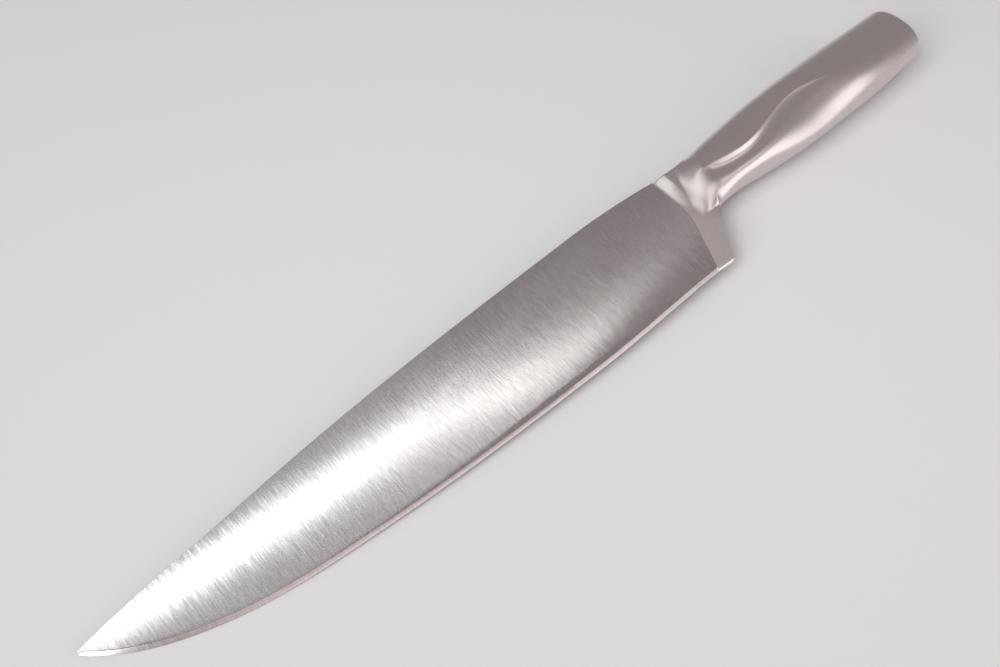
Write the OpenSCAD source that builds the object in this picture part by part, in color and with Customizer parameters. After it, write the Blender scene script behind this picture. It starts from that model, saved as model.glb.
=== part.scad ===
// All-steel cook's knife: a ground blade, a sloping bolster and a hollow, sculpted handle.
// The knife is drawn in its own axes and laid on its side at the end. x runs from the heel of
// the edge towards the butt, so the blade is on the negative side. y runs from the edge towards
// the spine, from the axis of the handle. z = 0 is the middle plane, and z > 0 is the left cheek.

/* [Blade] */
// Length of the cutting edge along the handle axis, from heel to tip
blade_length = 203; // [160:1:260]
// How far the heel of the edge lies below the handle axis
heel_drop = 28.7; // [24:0.1:34]
// Highest point of the spine above the handle axis
spine_rise = 10.2; // [8:0.1:12]
// How far the tip lies below the handle axis
tip_drop = 3; // [0:0.1:8]
// Thickness of the spine at the bolster
spine_thickness = 2.4; // [1.8:0.1:3]
// Thickness of the blade just above the edge at the heel
shoulder_thickness = 0.8; // [0.5:0.1:1]
// Thickness of the blade at the tip
tip_thickness = 1; // [0.8:0.1:1.4]
// Width of the sharpened bevel on each cheek
bevel_width = 1.3; // [0.6:0.1:2]

/* [Bolster] */
// Lean of the bolster's front line away from square to the axis, in degrees
front_lean = 24; // [10:1:30]
// Angle between the rear edge of the bolster and the handle axis, in degrees
rear_angle = 55.5; // [50:1:65]
// Length of the flat foot of the bolster, behind the heel
foot_length = 6.5; // [3:0.1:8]
// Height of the step where the blade's grinding ends, in the lower half of the front line
plunge_step = 0.22; // [0.1:0.01:0.4]
// Extra rise of the bolster beside the spine, above the step
spine_swell = 1.5; // [0:0.1:2]

/* [Handle] */
// Distance from the heel to the flat end of the butt, along the axis
butt_distance = 124.5; // [115:0.5:140]
// Distance from the heel to the joint between bolster and handle shells
joint_distance = 34; // [32:0.5:38]
// Width of the handle at its fullest, seen from the cheek
handle_width = 24.5; // [22:0.1:28]
// Thickness of the handle at its fullest, from cheek to cheek
handle_thickness = 19; // [16:0.1:22]
// Thickness of the neck behind the bolster
neck_thickness = 12.6; // [11:0.1:14]
// Depth of the hollow below the ridge on each side of the grip, at the neck
scoop_depth = 1.8; // [0.5:0.1:2]
// Wall of the pressed handle shells
wall = 1.2; // [0.8:0.1:1.6]
// Rounding of the rim around the flat butt
rim_radius = 1; // [0.6:0.1:2]

/* [Inside] */
// Length of the stub tang behind the bolster
tang_length = 42; // [30:1:50]
// Height of the tang, across the handle
tang_height = 9; // [6:0.5:11]
// Thickness of the tang
tang_thickness = 4; // [3:0.5:6]
// Length of the balance weight at the end of the tang
weight_length = 16; // [8:1:24]
// Diameter of the balance weight
weight_diameter = 11; // [8:0.5:12]

/* [Rest] */
// How far the knife rolls towards its edge when it lies on its cheek, in degrees
rest_roll = 4; // [2:0.1:6]
// How far the blade points down when the knife lies on its cheek, in degrees
rest_tip = 1.8; // [1:0.1:3]

/* [Hidden] */

// How finely the surfaces are divided
half_points = 11;      // points from the ridge to the spine, and from the ridge to the belly
blade_stations = 44;
plate_stations = 7;
rise_stations = 20;
rise_crowding = 1.7;   // stations crowd towards the foot of the rise
shell_stations = 26;
rim_stations = 5;

lean = tan(front_lean);
rear_slope = tan(rear_angle);
spigot = 4;            // how far the bolster and the cap reach into the shells
cap_length = 5;
tang_y = -0.5;         // middle of the tang and of the weight
bend_from = -12;       // the front line is straight below this height
bend = 8;              // and square to the axis this much higher
root_x = 14;           // where the bolster starts to rise into the neck, on the axis
rise_lean = 0.36;      // lean of that line
rise_span = 0.46;      // the rise is over at this part of the way to the joint
notch_y = -14.2;       // top of the bolster's rear edge
flat_from = 5;         // the plate stays flat from this far below the notch
throat_rise = 2;       // the neck's cross-section ends this far above the notch
past_plate = [1.3, 1.5]; // stations between which the cross-sections leave the plate
foot_dip = 0.4;        // the foot ends this much below the heel
foot_round = 0.8;      // rounding of the foot's rear corner
plate_round = 0.6;     // rounding of the plate's upper and rear edges
plate_taper = 0.05;    // thickening of the plate behind the front line, for each mm
step_fade = [-4, -12]; // the step grows from nothing to its full height between these heights
swell_from = -9;       // the swell beside the spine starts at this height
swell_height = 14;     // and is full this much higher
swell_run = 4.5;       // and this far behind the front line

function smooth(t) = let (u = min(1, max(0, t))) u * u * (3 - 2 * u);
function mix(a, b, t) = a + (b - a) * t;

// A curve through keys of [x, height, slope], read at x
function flow(keys, x) =
    let (i = max([for (j = [0:len(keys) - 2]) x >= keys[j][0] ? j : 0]),
         a = keys[i],
         b = keys[i + 1],
         h = b[0] - a[0],
         t = min(1, max(0, (x - a[0]) / h)))
    (1 + 2 * t) * (1 - t)^2 * a[1] + t * (1 - t)^2 * h * a[2]
    + t^2 * (3 - 2 * t) * b[1] + t^2 * (t - 1) * h * b[2];

// Stations along the hollow handle: its start, where it is fully swelled, and its end
grip_x = mix(joint_distance, butt_distance, 0.26);
swell_x = mix(joint_distance, butt_distance, 0.61);

// Side view: spine above and edge, bolster and belly below
rear_x = foot_length + 0.75 * foot_round;
notch_x = rear_x + (notch_y + heel_drop + foot_dip - foot_round) / rear_slope;
spine_keys = [
    [-blade_length, 0.7 - tip_drop, 0.18],
    [-0.74 * blade_length, 0.366 * spine_rise, 0.11],
    [-0.125 * blade_length, spine_rise, 0.024],
    [2, spine_rise - 0.8, -0.07],
    [19, 0.785 * spine_rise, 0],
    [joint_distance, 0.394 * handle_width, 0.08],
    [grip_x, 0.46 * handle_width, 0.01],
    [swell_x, 0.487 * handle_width, 0],
    [butt_distance, 0.464 * handle_width, 0]];
belly_keys = [
    [-blade_length, -0.5 - tip_drop, -0.95],
    [-0.887 * blade_length, -0.61 * heel_drop, -0.38],
    [-0.64 * blade_length, -0.923 * heel_drop, -0.087],
    [-0.246 * blade_length, -1.037 * heel_drop, -0.013],
    [0, -heel_drop, 0],
    [foot_length - 1, -heel_drop - foot_dip, 0],
    [rear_x, foot_round - foot_dip - heel_drop, rear_slope],
    [notch_x, notch_y, rear_slope],
    [notch_x + 5.5, -0.458 * handle_width, 0.1],
    [joint_distance, -0.442 * handle_width, -0.07],
    [grip_x, -0.541 * handle_width, -0.06],
    [swell_x, -0.536 * handle_width, 0.02],
    [butt_distance, -0.437 * handle_width, 0.09]];

// Half the thickness of the handle, and the ridge along the middle of each side
half_keys = [
    [25, neck_thickness / 2, 0.11],
    [grip_x, 0.464 * handle_thickness, 0.045],
    [swell_x, handle_thickness / 2, 0],
    [butt_distance, 0.437 * handle_thickness, -0.03]];
ridge_keys = [
    [20, 0, -0.1],
    [39, -2.9, 0],
    [65, 1.5, 0.05],
    [88, -2.6, -0.15],
    [butt_distance, 0, 0]];
// Width and depth of the hollow below the ridge
scoop_start = 18;
scoop_end = 88;
scoop_width_keys = [
    [scoop_start, 9.5, -0.05],
    [40, 8.2, 0],
    [52, 8.6, 0],
    [66, 7.2, -0.2],
    [scoop_end, 1.5, -0.2]];
scoop_depth_keys = [
    [scoop_start, 0, 0],
    [32, scoop_depth, 0],
    [60, 0.6 * scoop_depth, -0.02],
    [scoop_end, 0, 0]];
// Fullness of the cross-section: 2 is an ellipse, more is squarer, less is flatter in the flank
upper_power = 2.35;
lower_power_keys = [
    [18, 1.5, 0],
    [36, 1.5, 0],
    [75, 1.6, 0.005],
    [98, 1.95, 0.015],
    [butt_distance, 2.3, 0]];

// Each cheek is one flat plane, thickest at the spine and the heel and thinnest at the tip
taper_y = (spine_thickness - shoulder_thickness) / 2 / (spine_rise + heel_drop);
cheek_axis = shoulder_thickness / 2 + taper_y * heel_drop;
taper_x = (cheek_axis - taper_y * tip_drop - tip_thickness / 2) / blade_length;
function cheek(x, y) = cheek_axis + taper_x * x + taper_y * y;

// Lines across the knife: the front of the bolster, the foot of the rise, and the joint
function front_x(y) =
    let (u = min(bend, max(0, y - bend_from)))
    lean * (min(y, bend_from) + heel_drop) + lean * (u - u * u / 2 / bend);
function rise_x(y) = root_x + rise_lean * y;
// Station k is the front line at 0, the foot of the rise at 1, the joint at 2, the butt at 3
function line_x(k, y) =
    k <= 1 ? mix(front_x(y), rise_x(y), k)
    : k <= 2 ? mix(rise_x(y), joint_distance, k - 1)
    : mix(joint_distance, butt_distance, k - 2);
function station(x) = 2 + (x - joint_distance) / (butt_distance - joint_distance);

// Height at which the line of station k meets an outline, by halving the interval
function meet(k, keys, low, high, n = 18) =
    let (m = (low + high) / 2)
    n == 0 ? m
    : m > flow(keys, line_x(k, m)) ? meet(k, keys, low, m, n - 1)
    : meet(k, keys, m, high, n - 1);

// Roll-off of a surface at distance u of its rounded edge, from 0 to 1
function rolloff(u, power) = let (v = 1 - min(1, max(0, u))) max(0, 1 - v^power)^(1 / power);

// Hollow below the ridge: it falls steeply from the ridge and rises softly into the flank
function scoop(x, drop) =
    let (u = drop / flow(scoop_width_keys, x))
    x <= scoop_start || x >= scoop_end || u <= 0 || u >= 1 ? 0
    : flow(scoop_depth_keys, x) * sin(180 * (1 - u)^1.6);

// Left cheek of the bolster's plate
function plate(x, y) =
    let (back = max(0, x - front_x(y)),
         step = smooth((step_fade[0] - y) / (step_fade[0] - step_fade[1])),
         swell = smooth((y - swell_from) / swell_height) * smooth(back / swell_run))
    cheek(x, y) + plunge_step * step + plate_taper * back + spine_swell * swell;

// Left half of a cross-section from the spine over the ridge to the belly, lying inset below
// the outer surface
function profile(k, inset = 0) =
    let (axis_x = line_x(k, 0),
         top = meet(k, spine_keys, -5, 20) - inset,
         bottom = meet(k, belly_keys, -40, 0) + inset,
         ridge = flow(ridge_keys, axis_x),
         half = flow(half_keys, axis_x) - inset,
         lower_power = flow(lower_power_keys, axis_x),
         rise = smooth((k - 1) / rise_span),
         past = smooth((k - past_plate[0]) / (past_plate[1] - past_plate[0])),
         throat = mix(max(bottom, notch_y + throat_rise), bottom, past),
         n = half_points,
         rows = concat([for (j = [0:n]) mix(ridge, top, cos(90 * j / n))],
                       [for (j = [1:n]) mix(ridge, bottom, sin(90 * j / n))]))
    [for (y = rows)
        let (x = line_x(k, y),
             body = rise * smooth((y - notch_y + flat_from) / flat_from),
             low = plate(x, y) * rolloff((top - y) / plate_round, 2)
                 * rolloff((y - bottom) / plate_round, 2),
             full = (half - scoop(axis_x, ridge - y))
                 * rolloff((top - y) / (top - ridge), upper_power)
                 * rolloff((y - throat) / (ridge - throat), lower_power))
        [x, y, mix(low, max(low * (1 - past), full), body)]];

// Whole cross-section, closed through the right side
function ring(k, inset = 0) =
    let (left = profile(k, inset), n = len(left))
    concat(left, [for (i = [n - 2:-1:1]) [left[i][0], left[i][1], -left[i][2]]]);
// A ring drawn in towards its middle, and moved to another x
function shrink(points, by, x) =
    let (ys = [for (p = points) p[1]],
         middle = (max(ys) + min(ys)) / 2,
         a = (max(ys) - min(ys)) / 2,
         b = max([for (p = points) p[2]]))
    [for (p = points) [x, middle + (p[1] - middle) * (a - by) / a, p[2] * (b - by) / b]];

// A solid through a list of rings with equally many points. The ends are closed by strips
// between the points that face each other across the ring, which is offset where its first
// point stands alone.
module loft(rings, offset) {
    n = len(rings[0]);
    last = len(rings) - 1;
    sides = [for (r = [0:last - 1], i = [0:n - 1])
        let (a = r * n + i, b = r * n + (i + 1) % n)
        each [[a, b + n, b], [a, a + n, b + n]]];
    strips = [for (i = [0:floor((n - offset) / 2) - 1])
        let (a = i, b = i + 1, c = (n - offset - i - 1 + n) % n, d = (n - offset - i + n) % n)
        each concat(b == c ? [] : [[a, b, c]], a == d ? [] : [[a, c, d]])];
    ends = concat(strips, [for (f = strips) [f[0] + last * n, f[2] + last * n, f[1] + last * n]]);
    polyhedron(points = [for (r = rings) each r], faces = concat(sides, ends));
}

// Blade: stations crowd towards the tip and bend to meet the bolster's front line at the root
blade_rows = [1, 0.64, 0.53, 0.42, 0];
function blade_ring(t) =
    let (far = blade_length * (1 - sin(90 * t)),
         root = 1 - far / blade_length,
         low_x = mix(-blade_length, front_x(-heel_drop), root),
         edge = flow(belly_keys, low_x),
         top_x = mix(-blade_length, front_x(0), root),
         top = flow(spine_keys, top_x),
         left = [for (f = blade_rows)
             let (y = mix(min(edge + bevel_width, mix(edge, top, 0.5)), top, f),
                  x = mix(-blade_length, front_x(y), root))
             [x, y, cheek(x, y)]])
    concat(left, [[low_x, edge, 0]],
           [for (i = [len(left) - 1:-1:0]) [left[i][0], left[i][1], -left[i][2]]]);
blade_rings = [for (i = [0:blade_stations]) blade_ring(i / blade_stations)];

bolster_rings = concat(
    [for (i = [0:plate_stations]) ring(i / plate_stations)],
    [for (i = [1:rise_stations]) ring(1 + (i / rise_stations)^rise_crowding)]);
shell_ks = [for (i = [0:shell_stations]) mix(2, station(butt_distance - cap_length),
                                             i / shell_stations)];
grip_rings = [for (k = shell_ks) ring(k)];
rim_start = ring(station(butt_distance - rim_radius));
cap_rings = concat(
    [ring(station(butt_distance - cap_length)), rim_start],
    [for (i = [1:rim_stations])
        let (a = 90 * i / rim_stations)
        shrink(rim_start, rim_radius * (1 - cos(a)), butt_distance - rim_radius * (1 - sin(a)))]);

// Resting place: the knife is rolled and tipped as it lies, then raised to touch the ground
function laid(p) =
    let (y = p[1] * cos(rest_roll) - p[2] * sin(rest_roll),
         z = p[1] * sin(rest_roll) + p[2] * cos(rest_roll))
    [p[0] * cos(rest_tip) - z * sin(rest_tip), y, z * cos(rest_tip) + p[0] * sin(rest_tip)];
laid_points = [for (part = [blade_rings, bolster_rings, grip_rings, cap_rings])
    for (r = part) each [for (p = r) laid(p)]];
xs = [for (p = laid_points) p[0]];
ys = [for (p = laid_points) p[1]];
zs = [for (p = laid_points) p[2]];
ground = [-(min(xs) + max(xs)) / 2, -(min(ys) + max(ys)) / 2, -min(zs)];

module lay_down() {
    translate(ground) rotate([rest_roll, -rest_tip, 0]) children();
}

module blade() {
    color("silver") loft(blade_rings, 1);
}

module bolster() {
    neck = [ring(2, wall), ring(station(joint_distance + spigot), wall)];
    color("lightgray") loft(concat(bolster_rings, neck), 0);
}

module tang() {
    start = joint_distance + spigot;
    color("gray")
        translate([start, tang_y - tang_height / 2, -tang_thickness / 2])
            cube([tang_length, tang_height, tang_thickness]);
}

module handle_shell_left() {
    rings = [for (k = shell_ks)
        let (outer = profile(k), inner = profile(k, wall), n = len(inner))
        concat(outer, [for (i = [n - 1:-1:0]) inner[i]])];
    color("lightgray") loft(rings, 1);
}

module handle_shell_right() {
    mirror([0, 0, 1]) handle_shell_left();
}

module butt_cap() {
    end = station(butt_distance - cap_length);
    mouth = station(butt_distance - cap_length - spigot);
    inside = [ring(station(butt_distance - 2 * wall), 2 * wall), ring(mouth, 2 * wall),
              ring(mouth, wall), ring(end, wall)];
    color("lightgray") loft(concat(inside, cap_rings), 0);
}

module balance_weight() {
    start = joint_distance + spigot + tang_length;
    color("dimgray")
        translate([start, tang_y, 0])
            rotate([0, 90, 0])
                cylinder(d = weight_diameter, h = weight_length, $fn = 48);
}

lay_down() blade();
lay_down() bolster();
lay_down() tang();
lay_down() handle_shell_left();
lay_down() handle_shell_right();
lay_down() butt_cap();
lay_down() balance_weight();
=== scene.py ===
"""An all-steel cook's knife, lying on its cheek on a pale floor.

The skin of every visible piece is worked out in millimetres in the knife's own axes: x from the
heel of the edge towards the butt, y from the handle's axis towards the spine, z out of the left
cheek. settle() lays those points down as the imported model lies, in the frame's metres.
"""

import bpy
import numpy as np
from mathutils import Matrix, Vector


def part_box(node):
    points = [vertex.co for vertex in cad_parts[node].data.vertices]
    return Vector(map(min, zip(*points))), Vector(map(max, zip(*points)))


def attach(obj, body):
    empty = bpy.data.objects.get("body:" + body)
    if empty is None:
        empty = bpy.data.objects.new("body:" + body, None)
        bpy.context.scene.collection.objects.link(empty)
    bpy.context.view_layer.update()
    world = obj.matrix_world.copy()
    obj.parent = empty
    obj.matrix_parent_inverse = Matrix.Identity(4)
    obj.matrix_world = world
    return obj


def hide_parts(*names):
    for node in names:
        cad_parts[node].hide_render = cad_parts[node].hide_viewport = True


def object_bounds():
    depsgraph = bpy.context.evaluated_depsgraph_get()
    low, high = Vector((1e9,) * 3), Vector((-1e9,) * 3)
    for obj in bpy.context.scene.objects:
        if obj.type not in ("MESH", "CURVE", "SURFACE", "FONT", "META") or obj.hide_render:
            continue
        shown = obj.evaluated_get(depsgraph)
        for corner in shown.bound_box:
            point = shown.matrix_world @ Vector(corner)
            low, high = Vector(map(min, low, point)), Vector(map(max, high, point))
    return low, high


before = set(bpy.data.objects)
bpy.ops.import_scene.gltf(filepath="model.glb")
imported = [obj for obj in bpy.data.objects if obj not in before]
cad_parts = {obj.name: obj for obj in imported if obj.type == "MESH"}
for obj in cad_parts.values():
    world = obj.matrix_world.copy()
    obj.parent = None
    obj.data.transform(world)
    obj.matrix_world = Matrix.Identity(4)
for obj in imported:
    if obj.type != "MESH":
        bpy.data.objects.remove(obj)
CAD_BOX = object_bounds()

MM = 0.001

# Driving sizes of the knife, in millimetres and degrees, as in its source. Only the hollow below
# the ridge is a little shallower and crisper here, and the lower flank of the neck is fuller.
BLADE_LENGTH = 203  # of the cutting edge along the handle's axis, from heel to tip
HEEL_DROP = 28.7  # of the heel of the edge below the axis
SPINE_RISE = 10.2  # of the spine's highest point above the axis
TIP_DROP = 3  # of the tip below the axis
SPINE_THICKNESS = 2.4  # at the bolster
SHOULDER_THICKNESS = 0.8  # just above the edge at the heel
TIP_THICKNESS = 1  # of the blade at the tip
BEVEL_WIDTH = 1.3  # of the sharpened bevel on each cheek
FRONT_LEAN = 24  # of the bolster's front line away from square to the axis
REAR_ANGLE = 55.5  # between the bolster's rear edge and the axis
FOOT_LENGTH = 6.5  # of the bolster's flat foot behind the heel
PLUNGE_STEP = 0.22  # where the blade's grinding ends, low on the front line
SPINE_SWELL = 1.5  # extra rise of the bolster beside the spine
BUTT = 124.5  # from the heel to the flat end of the handle
JOINT = 34  # from the heel to the joint between bolster and shells
HANDLE_WIDTH = 24.5  # at its fullest, seen from the cheek
HANDLE_THICKNESS = 19  # at its fullest, from cheek to cheek
NECK_THICKNESS = 12.6  # behind the bolster
SCOOP_DEPTH = 1.45  # of the hollow below the ridge, at the neck
SCOOP_CRISPNESS = 2.2  # more brings the deepest line of the hollow nearer to the ridge
WALL = 1.2  # of the handle shells
RIM_RADIUS = 1  # of the rounding around the flat butt
SPIGOT = 4  # how far the bolster and the cap reach into the shells
CAP_LENGTH = 5  # of the butt cap's outer part
BEND_FROM = -12  # the front line is straight below this height
BEND = 8  # and square to the axis this much higher
ROOT_X = 14  # where the bolster starts to rise into the neck, on the axis
RISE_LEAN = 0.36  # lean of that line
RISE_SPAN = 0.46  # the rise is over at this part of the way to the joint
NOTCH_Y = -14.2  # top of the bolster's rear edge
FLAT_FROM = 5  # the plate stays flat from this far below the notch
THROAT_RISE = 2  # the neck's cross-section ends this far above the notch
PAST_PLATE = (1.3, 1.5)  # stations between which the cross-sections leave the plate
FOOT_DIP = 0.4  # the foot ends this much below the heel
FOOT_ROUND = 0.8  # rounding of the foot's rear corner
PLATE_ROUND = 0.6  # rounding of the plate's upper and rear edges
PLATE_TAPER = 0.05  # thickening of the plate behind the front line, for each mm
STEP_FADE = (-4, -12)  # the step grows to its full height between these heights
SWELL_FROM = -9  # the swell beside the spine starts at this height
SWELL_HEIGHT = 14  # and is full this much higher
SWELL_RUN = 4.5  # and this far behind the front line
REST_ROLL = 4  # of the knife towards its edge as it lies
REST_TIP = 1.8  # how far the blade points down as it lies
TANG_CORNER = (38, -5, -2)  # where the tang starts, in the knife's own axes
TANG_SIZE = (42, 9, 4)  # along the three axes

# Only the scene rounds the shoulder over the bevel and gives the edge a micro-bevel. The first two
# are shares of the bevel's width, and the last two are shares of the blade's thickness there.
SHOULDER_ROUND = 0.1
MICRO_BEVEL = 0.22
SHOULDER_FULLNESS = 0.93
MICRO_BEVEL_FULLNESS = 0.3

LEAN = np.tan(np.radians(FRONT_LEAN))
REAR_SLOPE = np.tan(np.radians(REAR_ANGLE))
GRIP_X = JOINT + 0.26 * (BUTT - JOINT)
SWELL_X = JOINT + 0.61 * (BUTT - JOINT)
REAR_X = FOOT_LENGTH + 0.75 * FOOT_ROUND
NOTCH_X = REAR_X + (NOTCH_Y + HEEL_DROP + FOOT_DIP - FOOT_ROUND) / REAR_SLOPE

# Outlines, ridge and hollow as keys of (x, value, slope)
SPINE_KEYS = [
    (-BLADE_LENGTH, 0.7 - TIP_DROP, 0.18),
    (-0.74 * BLADE_LENGTH, 0.366 * SPINE_RISE, 0.11),
    (-0.125 * BLADE_LENGTH, SPINE_RISE, 0.024),
    (2, SPINE_RISE - 0.8, -0.07),
    (19, 0.785 * SPINE_RISE, 0),
    (JOINT, 0.394 * HANDLE_WIDTH, 0.08),
    (GRIP_X, 0.46 * HANDLE_WIDTH, 0.01),
    (SWELL_X, 0.487 * HANDLE_WIDTH, 0),
    (BUTT, 0.464 * HANDLE_WIDTH, 0)]
BELLY_KEYS = [
    (-BLADE_LENGTH, -0.5 - TIP_DROP, -0.95),
    (-0.887 * BLADE_LENGTH, -0.61 * HEEL_DROP, -0.38),
    (-0.64 * BLADE_LENGTH, -0.923 * HEEL_DROP, -0.087),
    (-0.246 * BLADE_LENGTH, -1.037 * HEEL_DROP, -0.013),
    (0, -HEEL_DROP, 0),
    (FOOT_LENGTH - 1, -HEEL_DROP - FOOT_DIP, 0),
    (REAR_X, FOOT_ROUND - FOOT_DIP - HEEL_DROP, REAR_SLOPE),
    (NOTCH_X, NOTCH_Y, REAR_SLOPE),
    (NOTCH_X + 5.5, -0.458 * HANDLE_WIDTH, 0.1),
    (JOINT, -0.442 * HANDLE_WIDTH, -0.07),
    (GRIP_X, -0.541 * HANDLE_WIDTH, -0.06),
    (SWELL_X, -0.536 * HANDLE_WIDTH, 0.02),
    (BUTT, -0.437 * HANDLE_WIDTH, 0.09)]
HALF_KEYS = [
    (25, NECK_THICKNESS / 2, 0.11),
    (GRIP_X, 0.464 * HANDLE_THICKNESS, 0.045),
    (SWELL_X, HANDLE_THICKNESS / 2, 0),
    (BUTT, 0.437 * HANDLE_THICKNESS, -0.03)]
RIDGE_KEYS = [(20, 0, -0.1), (39, -2.9, 0), (65, 1.5, 0.05), (88, -2.6, -0.15), (BUTT, 0, 0)]
SCOOP_START = 18
SCOOP_END = 88
SCOOP_WIDTH_KEYS = [
    (SCOOP_START, 9.5, -0.05), (40, 8.2, 0), (52, 8.6, 0), (66, 7.2, -0.2), (SCOOP_END, 1.5, -0.2)]
SCOOP_DEPTH_KEYS = [
    (SCOOP_START, 0, 0), (32, SCOOP_DEPTH, 0), (60, 0.6 * SCOOP_DEPTH, -0.02), (SCOOP_END, 0, 0)]
# Fullness of the cross-section: 2 is an ellipse, more is squarer, less is flatter in the flank
UPPER_POWER = 2.35
LOWER_POWER_KEYS = [
    (18, 1.6, 0.02), (36, 2.05, 0), (60, 1.75, -0.01), (75, 1.65, 0), (98, 1.95, 0.015),
    (BUTT, 2.3, 0)]

# Heights between which the outlines lie, and how often meet() halves them
SPINE_SPAN = (-5, 20)
BELLY_SPAN = (-40, 0)
HALVINGS = 30
# The hollow's lip stays above this share of the way from the ridge to the belly
LOWEST_LIP = 0.85

# How finely the skin is divided
UPPER_COLUMNS = 40
HOLLOW_COLUMNS = 28
LOWER_COLUMNS = 44
PLATE_STATIONS = 40
RISE_STATIONS = 90
SHELL_STATIONS = 190
CAP_STATIONS = 10
RIM_STATIONS = 10
BLADE_STATIONS = 220
CHEEK_ROWS = 24
# Above 1, the stations crowd towards the foot of the bolster's rise
RISE_CROWDING = 1.4


def smooth(t):
    """Eases from 0 to 1 while t goes from 0 to 1."""
    u = np.clip(t, 0, 1)
    return u * u * (3 - 2 * u)


def mix(a, b, t):
    return a + (b - a) * t


def flow(keys, x):
    """A smooth curve through keys of (x, value, slope), read at x."""
    keys = np.array(keys, float)
    x = np.asarray(x, float)
    i = np.clip(np.searchsorted(keys[:, 0], x, side="right") - 1, 0, len(keys) - 2)
    a, b = keys[i], keys[i + 1]
    h = b[..., 0] - a[..., 0]
    t = np.clip((x - a[..., 0]) / h, 0, 1)
    return ((1 + 2 * t) * (1 - t) ** 2 * a[..., 1] + t * (1 - t) ** 2 * h * a[..., 2]
            + t * t * (3 - 2 * t) * b[..., 1] + t * t * (t - 1) * h * b[..., 2])


TAPER_Y = (SPINE_THICKNESS - SHOULDER_THICKNESS) / 2 / (SPINE_RISE + HEEL_DROP)
CHEEK_AXIS = SHOULDER_THICKNESS / 2 + TAPER_Y * HEEL_DROP
TAPER_X = (CHEEK_AXIS - TAPER_Y * TIP_DROP - TIP_THICKNESS / 2) / BLADE_LENGTH


def cheek(x, y):
    """Half the thickness of the blade."""
    return CHEEK_AXIS + TAPER_X * x + TAPER_Y * y


def front_x(y):
    """The bolster's front line, leaning along the plate and square to the axis at the spine."""
    u = np.clip(y - BEND_FROM, 0, BEND)
    return LEAN * (np.minimum(y, BEND_FROM) + HEEL_DROP) + LEAN * (u - u * u / 2 / BEND)


def rise_x(y):
    """The line along which the bolster starts to rise into the neck."""
    return ROOT_X + RISE_LEAN * y


def line_x(k, y):
    """x on station line k: 0 is the front line, 1 the foot of the rise, 2 the joint, 3 the butt."""
    rear = np.where(k <= 2, mix(rise_x(y), JOINT, k - 1), mix(JOINT, BUTT, k - 2))
    return np.where(k <= 1, mix(front_x(y), rise_x(y), k), rear)


def station(x):
    """The station line that crosses the handle at x, behind the joint."""
    return 2 + (x - JOINT) / (BUTT - JOINT)


def meet(k, keys, span):
    """Height at which station line k crosses an outline that lies within span."""
    low = np.full(np.shape(k), float(span[0]))
    high = np.full(np.shape(k), float(span[1]))
    for _ in range(HALVINGS):
        middle = (low + high) / 2
        above = middle > flow(keys, line_x(k, middle))
        high = np.where(above, middle, high)
        low = np.where(above, low, middle)
    return (low + high) / 2


def rolloff(u, power):
    """Rounds an edge: rises from 0 at the edge to 1, as a quarter of a superellipse."""
    v = 1 - np.clip(u, 0, 1)
    return np.maximum(0, 1 - v ** power) ** (1 / power)


def scoop(x, drop):
    """Depth of the hollow below the ridge, which falls steeply and rises softly into the flank."""
    u = drop / flow(SCOOP_WIDTH_KEYS, x)
    inside = (x > SCOOP_START) & (x < SCOOP_END) & (u > 0) & (u < 1)
    shape = np.sin(np.pi * (1 - np.clip(u, 0, 1)) ** SCOOP_CRISPNESS)
    return np.where(inside, flow(SCOOP_DEPTH_KEYS, x) * shape, 0)


def plate(x, y):
    """Left cheek of the bolster's plate."""
    back = np.maximum(0, x - front_x(y))
    step = smooth((STEP_FADE[0] - y) / (STEP_FADE[0] - STEP_FADE[1]))
    swell = smooth((y - SWELL_FROM) / SWELL_HEIGHT) * smooth(back / SWELL_RUN)
    return cheek(x, y) + PLUNGE_STEP * step + PLATE_TAPER * back + SPINE_SWELL * swell


def left_skin(stations, inset=0):
    """Left half of the skin: one row per station, from the spine over the ridge to the belly."""
    k = np.asarray(stations, float)[:, None]
    top = meet(k, SPINE_KEYS, SPINE_SPAN) - inset
    bottom = meet(k, BELLY_KEYS, BELLY_SPAN) + inset
    axis_x = line_x(k, np.zeros_like(k))
    ridge = flow(RIDGE_KEYS, axis_x)
    half = flow(HALF_KEYS, axis_x) - inset
    lip = np.maximum(ridge - flow(SCOOP_WIDTH_KEYS, axis_x), mix(ridge, bottom, LOWEST_LIP))
    upper = np.linspace(0, 1, UPPER_COLUMNS + 1)[None, :]
    hollow = np.linspace(0, 1, HOLLOW_COLUMNS + 1)[None, 1:]
    lower = np.linspace(0, 1, LOWER_COLUMNS + 1)[None, 1:]
    y = np.concatenate([mix(ridge, top, np.cos(np.pi / 2 * upper)), mix(ridge, lip, hollow),
                        mix(lip, bottom, np.sin(np.pi / 2 * lower))], axis=1)
    x = line_x(np.broadcast_to(k, y.shape), y)
    # body is 0 on the bolster's plate and 1 on the handle, and past fades out what is left of the
    # plate. low and full are half the thickness of each.
    body = smooth((k - 1) / RISE_SPAN) * smooth((y - NOTCH_Y + FLAT_FROM) / FLAT_FROM)
    lower_power = flow(LOWER_POWER_KEYS, axis_x)
    low = (plate(x, y) * rolloff((top - y) / PLATE_ROUND, 2)
           * rolloff((y - bottom) / PLATE_ROUND, 2))
    past = smooth((k - PAST_PLATE[0]) / (PAST_PLATE[1] - PAST_PLATE[0]))
    throat = mix(np.maximum(bottom, NOTCH_Y + THROAT_RISE), bottom, past)
    full = ((half - scoop(axis_x, ridge - y)) * rolloff((top - y) / (top - ridge), UPPER_POWER)
            * rolloff((y - throat) / (ridge - throat), lower_power))
    return np.stack([x, y, mix(low, np.maximum(low * (1 - past), full), body)], -1)


def closed(left):
    """Whole rings from left halves, mirrored in the middle plane."""
    return np.concatenate([left, left[:, -2:0:-1] * (1, 1, -1)], axis=1)


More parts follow.
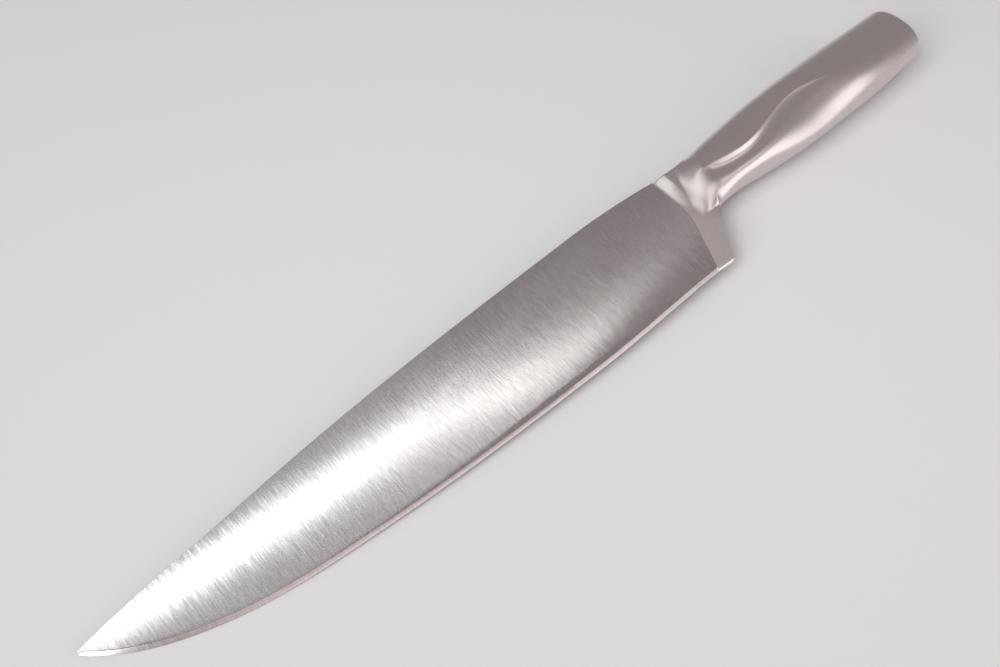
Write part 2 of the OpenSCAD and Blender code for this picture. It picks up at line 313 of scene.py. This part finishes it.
def shrunk(ring, by, x):
    """A ring drawn in towards its middle, and moved to another x."""
    y, z = ring[:, 1], ring[:, 2]
    middle, half = (y.max() + y.min()) / 2, (y.max() - y.min()) / 2
    return np.stack([np.full(len(y), float(x)), middle + (y - middle) * (half - by) / half,
                     z * (z.max() - by) / z.max()], -1)


def settle(points):
    """Points of the knife's own axes, laid down on the ground, in the frame's metres."""
    roll, tip = np.radians(REST_ROLL), np.radians(REST_TIP)
    x, y, z = np.moveaxis(np.asarray(points, float), -1, 0)
    y, z = y * np.cos(roll) - z * np.sin(roll), y * np.sin(roll) + z * np.cos(roll)
    x, z = x * np.cos(tip) - z * np.sin(tip), z * np.cos(tip) + x * np.sin(tip)
    return np.stack([x, y, z], -1) * MM


# The tang is a plain block, so the corner of its box ties the knife's own axes to the frame
tang_corners = [[TANG_CORNER[i] + TANG_SIZE[i] * side[i] for i in range(3)]
                for side in np.ndindex(2, 2, 2)]
GROUND = np.array(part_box("tang")[0]) - settle(tang_corners).min(axis=0)


def skin_normals(rings):
    """Outward normals of a grid of whole rings."""
    along = np.gradient(rings, axis=0)
    around = np.roll(rings, -1, axis=1) - np.roll(rings, 1, axis=1)
    n = np.cross(around, along)
    return n / np.maximum(1e-12, np.linalg.norm(n, axis=-1, keepdims=True))


def loft(name, rings, offset, normals=None, crease=28):
    """A closed mesh through rings with equally many points. Each end is closed by strips between
    the points that face each other across the ring, where point i faces point -offset - i, and no
    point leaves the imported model's box. crease is the angle above which an edge is sharp."""
    rings = np.asarray(rings, float)
    ring_count, size = rings.shape[:2]
    first = np.arange(ring_count - 1)[:, None] * size
    here = first + np.arange(size)[None, :]
    beside = first + (np.arange(size)[None, :] + 1) % size
    sides = np.stack([here, beside, beside + size, here + size], -1).reshape(-1, 4)
    strips = []
    for i in range((size - offset) // 2):
        corners = [i, i + 1, (size - offset - i - 1) % size, (size - offset - i) % size]
        strips.append([v for j, v in enumerate(corners) if v not in corners[:j]])
    last = (ring_count - 1) * size
    ends = [s[::-1] for s in strips] + [[v + last for v in s] for s in strips]
    mesh = bpy.data.meshes.new(name)
    faces = [list(map(int, f)) for f in sides] + [s for s in ends if len(s) > 2]
    points = np.clip(settle(rings.reshape(-1, 3)) + GROUND, *CAD_BOX)
    mesh.from_pydata(points.tolist(), [], faces)
    mesh.validate()
    mesh.set_sharp_from_angle(angle=np.radians(crease))
    lay_uv(mesh, rings)
    if normals is not None:
        use_normals(mesh, normals, len(sides))
    piece = bpy.data.objects.new(name, mesh)
    bpy.context.scene.collection.objects.link(piece)
    return piece


# Where the origin of the knife's own axes lies in the map that lay_uv() makes
UV_START = (0.7, 0.3)


def lay_uv(mesh, rings):
    """A map whose u runs along the knife, so that the brushed grain knows its direction."""
    points = rings.reshape(-1, 3)
    uv = mesh.uv_layers.new(name="along")
    vertex = np.empty(len(mesh.loops), int)
    mesh.loops.foreach_get("vertex_index", vertex)
    along = points[vertex][:, 0] / (BLADE_LENGTH + BUTT) + UV_START[0]
    across = points[vertex][:, 1] / (BLADE_LENGTH + BUTT) + UV_START[1]
    uv.data.foreach_set("uv", np.stack([along, across], -1).ravel())


def use_normals(mesh, normals, side_count):
    """Gives the sides of a loft the skin's own normals, so that neighbours meet without a seam."""
    turned = settle(normals.reshape(-1, 3)) / MM
    corner = np.empty(len(mesh.loops) * 3)
    mesh.corner_normals.foreach_get("vector", corner)
    corner = corner.reshape(-1, 3)
    vertex = np.empty(len(mesh.loops), int)
    mesh.loops.foreach_get("vertex_index", vertex)
    starts = np.empty(len(mesh.polygons), int)
    totals = np.empty(len(mesh.polygons), int)
    mesh.polygons.foreach_get("loop_start", starts)
    mesh.polygons.foreach_get("loop_total", totals)
    for i in range(side_count):
        loops = slice(starts[i], starts[i] + totals[i])
        known = np.isfinite(turned[vertex[loops]]).all(axis=1)
        corner[loops][known] = turned[vertex[loops]][known]
    mesh.normals_split_custom_set(corner.tolist())


# Materials

# Sizes along the knife and across it, in millimetres, and how much strokes and clouds change the
# roughness. Of the tint's changes, lines make LINE_SHARE and specks the rest. Most of the noise's
# values lie within NOISE_SPAN.
SPECKS = (0.6, 0.6)
CLOUDS = (30, 16)
STROKE_GLOSS = 0.01
CLOUD_GLOSS = 0.015
LINE_SHARE = 0.7
NOISE_SPAN = (0.3, 0.7)
# Painted light: the bolster's plate is painted lighter, in place of a brighter reflection, and this
# fades along this direction, between these places in metres
PAINTED_LIGHT_DIRECTION = (1, 0.8, 0)
PAINTED_LIGHT_FADE = (0.046, 0.057)


def set_range(ramp, given, wanted):
    """Sets a Map Range node to turn the two given values into the two wanted ones."""
    values = (*given, *wanted)
    for socket, value in zip(("From Min", "From Max", "To Min", "To Max"), values):
        ramp.inputs[socket].default_value = value


def steel(name, color, roughness, anisotropy, grain, contrast, strokes, comb, painted_light_gain=1):
    """Brushed steel. grain is the size, along the knife and across it in millimetres, of the lines
    that tint the steel, and contrast how much they do. strokes is the size of the strokes that lean
    to either side, by the slope comb. painted_light_gain is painted light: how much lighter the
    colour is painted before PAINTED_LIGHT_FADE, in place of a brighter reflection."""
    material = bpy.data.materials.new(name)
    material.use_nodes = True
    nodes, links = material.node_tree.nodes, material.node_tree.links
    shader = nodes["Principled BSDF"]
    shader.inputs["Metallic"].default_value = 1
    shader.inputs["Anisotropic"].default_value = anisotropy
    place = nodes.new("ShaderNodeTexCoord")

    def noise(size, detail):
        mapping = nodes.new("ShaderNodeMapping")
        along, across = (1 / MM / length for length in size)
        mapping.inputs["Scale"].default_value = (along, across, across)
        links.new(place.outputs["Object"], mapping.inputs["Vector"])
        texture = nodes.new("ShaderNodeTexNoise")
        texture.inputs["Scale"].default_value = 1
        texture.inputs["Detail"].default_value = detail
        links.new(mapping.outputs["Vector"], texture.inputs["Vector"])
        return texture

    def spread(value, low, high):
        ramp = nodes.new("ShaderNodeMapRange")
        set_range(ramp, NOISE_SPAN, (low, high))
        links.new(value, ramp.inputs["Value"])
        return ramp.outputs["Result"]

    def add(first, second):
        total = nodes.new("ShaderNodeMath")
        total.operation = "ADD"
        links.new(first, total.inputs[0])
        links.new(second, total.inputs[1])
        return total.outputs["Value"]

    def vector(operation, first, second=None):
        step = nodes.new("ShaderNodeVectorMath")
        step.operation = operation
        links.new(first, step.inputs[0])
        if second is not None:
            links.new(second, step.inputs[1])
        return step.outputs["Vector"]

    lines = noise(grain, 2).outputs["Fac"]
    specks = noise(SPECKS, 1).outputs["Fac"]
    bands = noise(strokes, 2)
    clouds = noise(CLOUDS, 2).outputs["Fac"]
    gloss = add(spread(bands.outputs["Fac"], -STROKE_GLOSS, STROKE_GLOSS),
                spread(clouds, roughness - CLOUD_GLOSS, roughness + CLOUD_GLOSS))
    links.new(gloss, shader.inputs["Roughness"])

    tint = nodes.new("ShaderNodeMix")
    tint.data_type = "RGBA"
    tint.inputs["A"].default_value = (*[c * (1 - contrast) for c in color], 1)
    tint.inputs["B"].default_value = (*[c * (1 + contrast) for c in color], 1)
    links.new(add(spread(lines, 0, LINE_SHARE), spread(specks, 0, 1 - LINE_SHARE)),
              tint.inputs["Factor"])
    # Painted light: the colour is painted lighter near the bolster's plate, in place of a brighter
    # reflection, and fades to the steel's own colour towards the handle
    reach = nodes.new("ShaderNodeVectorMath")
    reach.operation = "DOT_PRODUCT"
    links.new(place.outputs["Object"], reach.inputs[0])
    reach.inputs[1].default_value = PAINTED_LIGHT_DIRECTION
    painted_light_fade = nodes.new("ShaderNodeMapRange")
    painted_light_fade.interpolation_type = "SMOOTHSTEP"
    set_range(painted_light_fade, PAINTED_LIGHT_FADE, (painted_light_gain, 1))
    links.new(reach.outputs["Value"], painted_light_fade.inputs["Value"])
    lit = nodes.new("ShaderNodeVectorMath")
    lit.operation = "SCALE"
    links.new(tint.outputs["Result"], lit.inputs[0])
    links.new(painted_light_fade.outputs["Result"], lit.inputs["Scale"])
    links.new(lit.outputs["Vector"], shader.inputs["Base Color"])

    lean = nodes.new("ShaderNodeMapRange")
    lean.data_type = "FLOAT_VECTOR"
    set_range(lean, np.outer(NOISE_SPAN, (1, 1, 1)), np.outer((-comb, comb), (1, 1, 1)))
    links.new(bands.outputs["Color"], lean.inputs["Vector"])
    surface = nodes.new("ShaderNodeNewGeometry")
    leaned = vector("NORMALIZE", vector("ADD", surface.outputs["Normal"], lean.outputs["Vector"]))
    links.new(leaned, shader.inputs["Normal"])

    tangent = nodes.new("ShaderNodeTangent")
    tangent.direction_type = "UV_MAP"
    tangent.uv_map = "along"
    links.new(tangent.outputs["Tangent"], shader.inputs["Tangent"])
    return material


blade_steel = steel(
    "blade_steel", color=(0.605, 0.555, 0.555), roughness=0.17, anisotropy=1, grain=(0.45, 4),
    contrast=0.1, strokes=(0.4, 6), comb=0.0045)
# The handle's steel gets painted light: it is painted lighter on the bolster's plate, in place of a
# brighter reflection
handle_steel = steel(
    "handle_steel", color=(0.7, 0.635, 0.63), roughness=0.29, anisotropy=0, grain=(1.5, 0.4),
    contrast=0.04, strokes=(2, 0.5), comb=0.004, painted_light_gain=1.35)
inner_steel = steel(
    "inner_steel", color=(0.4, 0.4, 0.4), roughness=0.5, anisotropy=0, grain=(1, 1),
    contrast=0.1, strokes=(3, 3), comb=0)


# Pieces


def finish_piece(piece, material, node):
    """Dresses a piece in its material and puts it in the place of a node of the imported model."""
    piece.data.materials.append(material)
    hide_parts(node)
    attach(piece, "root")


def blade_rings():
    """Outlines of the blade's cross-sections, which bend towards the root to meet the bolster's
    front line."""
    t = np.linspace(0, 1, BLADE_STATIONS + 1)[:, None]
    root = np.sin(np.pi / 2 * t)
    low_x = mix(-BLADE_LENGTH, front_x(np.array(-HEEL_DROP)), root)
    edge = flow(BELLY_KEYS, low_x)
    top = flow(SPINE_KEYS, mix(-BLADE_LENGTH, front_x(np.array(0.0)), root))
    bevel = np.minimum(BEVEL_WIDTH, (top - edge) / 2)
    rows = np.linspace(1, 0, CHEEK_ROWS)[None, :]
    y = np.concatenate([mix(edge + (1 + SHOULDER_ROUND) * bevel, top, rows),
                        edge + (1 - SHOULDER_ROUND) * bevel, edge + MICRO_BEVEL * bevel], axis=1)
    x = mix(-BLADE_LENGTH, front_x(y), root)
    z = cheek(x, y)
    z[:, -2:] *= (SHOULDER_FULLNESS, MICRO_BEVEL_FULLNESS)
    left = np.stack([x, y, z], -1)
    point = np.stack([low_x, edge, np.zeros_like(edge)], -1)
    return np.concatenate([left, point, left[:, ::-1] * (1, 1, -1)], axis=1)


plate_k = np.linspace(0, 1, PLATE_STATIONS + 1)
rise_k = 1 + np.linspace(0, 1, RISE_STATIONS + 1)[1:] ** RISE_CROWDING
shell_k = np.linspace(2, station(BUTT - CAP_LENGTH), SHELL_STATIONS + 1)[1:]
cap_k = np.linspace(station(BUTT - CAP_LENGTH), station(BUTT - RIM_RADIUS), CAP_STATIONS + 1)[1:]
skin_k = np.concatenate([plate_k, rise_k, shell_k, cap_k])
left_half = left_skin(skin_k)
whole = closed(left_half)
rim_angles = np.linspace(0, np.pi / 2, RIM_STATIONS + 1)[1:]
rim = [shrunk(whole[-1], RIM_RADIUS * (1 - np.cos(a)), BUTT - RIM_RADIUS * (1 - np.sin(a)))
       for a in rim_angles]
whole = np.concatenate([whole, np.array(rim)])
facing = skin_normals(whole)

joint_row = PLATE_STATIONS + RISE_STATIONS
cap_row = joint_row + SHELL_STATIONS
half_columns = left_half.shape[1]


def inner_rings(xs, insets):
    """Rings inside the skin, each at its own x and depth below the surface."""
    return np.concatenate([closed(left_skin([station(x)], i)) for x, i in zip(xs, insets)])


def unknown(rings):
    """Stands for normals that use_normals() leaves as they are."""
    return np.full(rings.shape, np.nan)


blade = loft("blade_ground", blade_rings(), 1, crease=6)
finish_piece(blade, blade_steel, "blade")

neck = inner_rings([JOINT, JOINT + SPIGOT], [WALL, WALL])
bolster = loft("bolster_forged", np.concatenate([whole[:joint_row + 1], neck]), 0,
               np.concatenate([facing[:joint_row + 1], unknown(neck)]))
finish_piece(bolster, handle_steel, "bolster")

shell_inner = left_skin(skin_k[joint_row:cap_row + 1], WALL)[:, ::-1]
shell_outer = left_half[joint_row:cap_row + 1]
shell_facing = np.concatenate([facing[joint_row:cap_row + 1, :half_columns],
                               unknown(shell_inner)], axis=1)
for side, sign in (("left", 1), ("right", -1)):
    rings = np.concatenate([shell_outer, shell_inner], axis=1) * (1, 1, sign)
    turned = shell_facing * (1, 1, sign)
    if sign < 0:
        rings, turned = rings[::-1], turned[::-1]
    shell = loft("handle_shell_" + side + "_pressed", rings, 1, turned)
    finish_piece(shell, handle_steel, "handle_shell_" + side)

mouth = BUTT - CAP_LENGTH - SPIGOT
cap_inner = inner_rings([BUTT - 2 * WALL, mouth, mouth, BUTT - CAP_LENGTH],
                        [2 * WALL, 2 * WALL, WALL, WALL])
cap = loft("butt_cap_welded", np.concatenate([cap_inner, whole[cap_row:]]), 0,
           np.concatenate([unknown(cap_inner), facing[cap_row:]]))
finish_piece(cap, handle_steel, "butt_cap")

for node in ("tang", "balance_weight"):
    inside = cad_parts[node]
    inside.data.materials.clear()
    inside.data.materials.append(inner_steel)


# Floor, light and camera

# How far the floor reaches from the knife, in metres
FLOOR_REACH = 12


def add_floor():
    mesh = bpy.data.meshes.new("floor")
    corners = [(-1, -1), (1, -1), (1, 1), (-1, 1)]
    mesh.from_pydata([(x * FLOOR_REACH, y * FLOOR_REACH, 0) for x, y in corners], [],
                     [(0, 1, 2, 3)])
    floor = bpy.data.objects.new("floor", mesh)
    bpy.context.scene.collection.objects.link(floor)
    material = bpy.data.materials.new("pale_floor")
    material.use_nodes = True
    shader = material.node_tree.nodes["Principled BSDF"]
    shader.inputs["Base Color"].default_value = (0.8, 0.8, 0.8, 1)
    shader.inputs["Roughness"].default_value = 0.9
    mesh.materials.append(material)


# Above this cosine of its tilt a lamp counts as hanging overhead, and its turn is used
OVERHEAD = 0.9


def add_lamp(name, place, target, size, radiance, turn, color):
    """A rectangular soft lamp at place, facing target, both in the knife's own millimetres.
    radiance is how bright its face is, where 1 is white. turn is the angle from the knife's length
    to the first side of a lamp overhead, and others stand level."""
    light = bpy.data.lights.new(name, "AREA")
    light.shape = "RECTANGLE"
    light.size, light.size_y = size[0] * MM, size[1] * MM
    light.energy = radiance * np.pi * light.size * light.size_y
    light.color = color
    lamp = bpy.data.objects.new(name, light)
    bpy.context.scene.collection.objects.link(lamp)
    back = Vector(settle(np.subtract(place, target))).normalized()
    along = Vector(settle((np.cos(np.radians(turn)), np.sin(np.radians(turn)), 0)))
    if abs(back.z) < OVERHEAD:
        along = Vector((0, 0, 1)).cross(back)
    side = (along - along.dot(back) * back).normalized()
    turned = Matrix((side, back.cross(side), back)).transposed()
    lamp.matrix_world = Matrix.Translation(Vector(settle(place) + GROUND)) @ turned.to_4x4()
    lamp.visible_camera = False


def add_world(color):
    world = bpy.data.worlds.new("studio")
    world.use_nodes = True
    world.node_tree.nodes["Background"].inputs["Color"].default_value = (*color, 1)
    world.node_tree.nodes["Background"].inputs["Strength"].default_value = 1
    bpy.context.scene.world = world


# The camera's place, its picture's right and its picture's top in the knife's own axes, and its
# focal length in picture widths
EYE = (-175.28, -126.08, 256.72)
RIGHT = (0.747933, -0.663774, 0)
UP = (0.556688, 0.627269, 0.544639)
FOCAL_WIDTHS = 1.05


def add_camera():
    data = bpy.data.cameras.new("camera")
    data.sensor_width = 36
    data.lens = data.sensor_width * FOCAL_WIDTHS
    data.clip_start = 0.01
    camera = bpy.data.objects.new("camera", data)
    bpy.context.scene.collection.objects.link(camera)
    right, up = Vector(settle(RIGHT) / MM), Vector(settle(UP) / MM)
    turn = Matrix((right, up, right.cross(up))).transposed()
    camera.matrix_world = Matrix.Translation(Vector(settle(EYE) + GROUND)) @ turn.to_4x4()
    bpy.context.scene.camera = camera


# Each lamp's name, place, target, size, radiance, turn and colour. The strips overhead draw the
# streaks on the blade and the lines on its edge, and the others light the handle and the floor.
LAMPS = [
    ("tip_softbox", (-125, 119, 300), (-125, 119, 0), (230, 18), 3, -5.4, (0.92, 1, 0.98)),
    ("heel_softbox", (34, 95, 300), (34, 95, 0), (122, 12), 4.2, -13, (0.95, 1, 0.98)),
    ("tip_glow", (-115, 113, 310), (-115, 113, 0), (260, 90), 0.28, 0, (0.85, 1, 1.04)),
    ("bevel_softbox", (15, -30, 300), (15, -30, 0), (440, 40), 0.65, -17.6, (1, 0.88, 0.86)),
    ("edge_softbox", (20, -78, 300), (20, -78, 0), (430, 60), 1.3, -22.9, (1, 0.95, 0.94)),
    ("side_softbox", (1870, -2998, 1388), (70, -10, 0), (2125, 2250), 1.4, 0, (1, 0.96, 0.95)),
    ("high_softbox", (262, -284, 300), (70, -10, 0), (200, 70), 0.6, 0, (0.9, 1, 0.93)),
    ("fill_softbox", (-2560, -320, 2080), (0, 0, 0), (2240, 2240), 4.8, 0, (1, 1, 1))]
WORLD_COLOR = (0.323, 0.3, 0.301)

add_floor()
add_world(WORLD_COLOR)
for lamp_row in LAMPS:
    add_lamp(*lamp_row)
add_camera()
bpy.context.scene.view_settings.view_transform = "Standard"
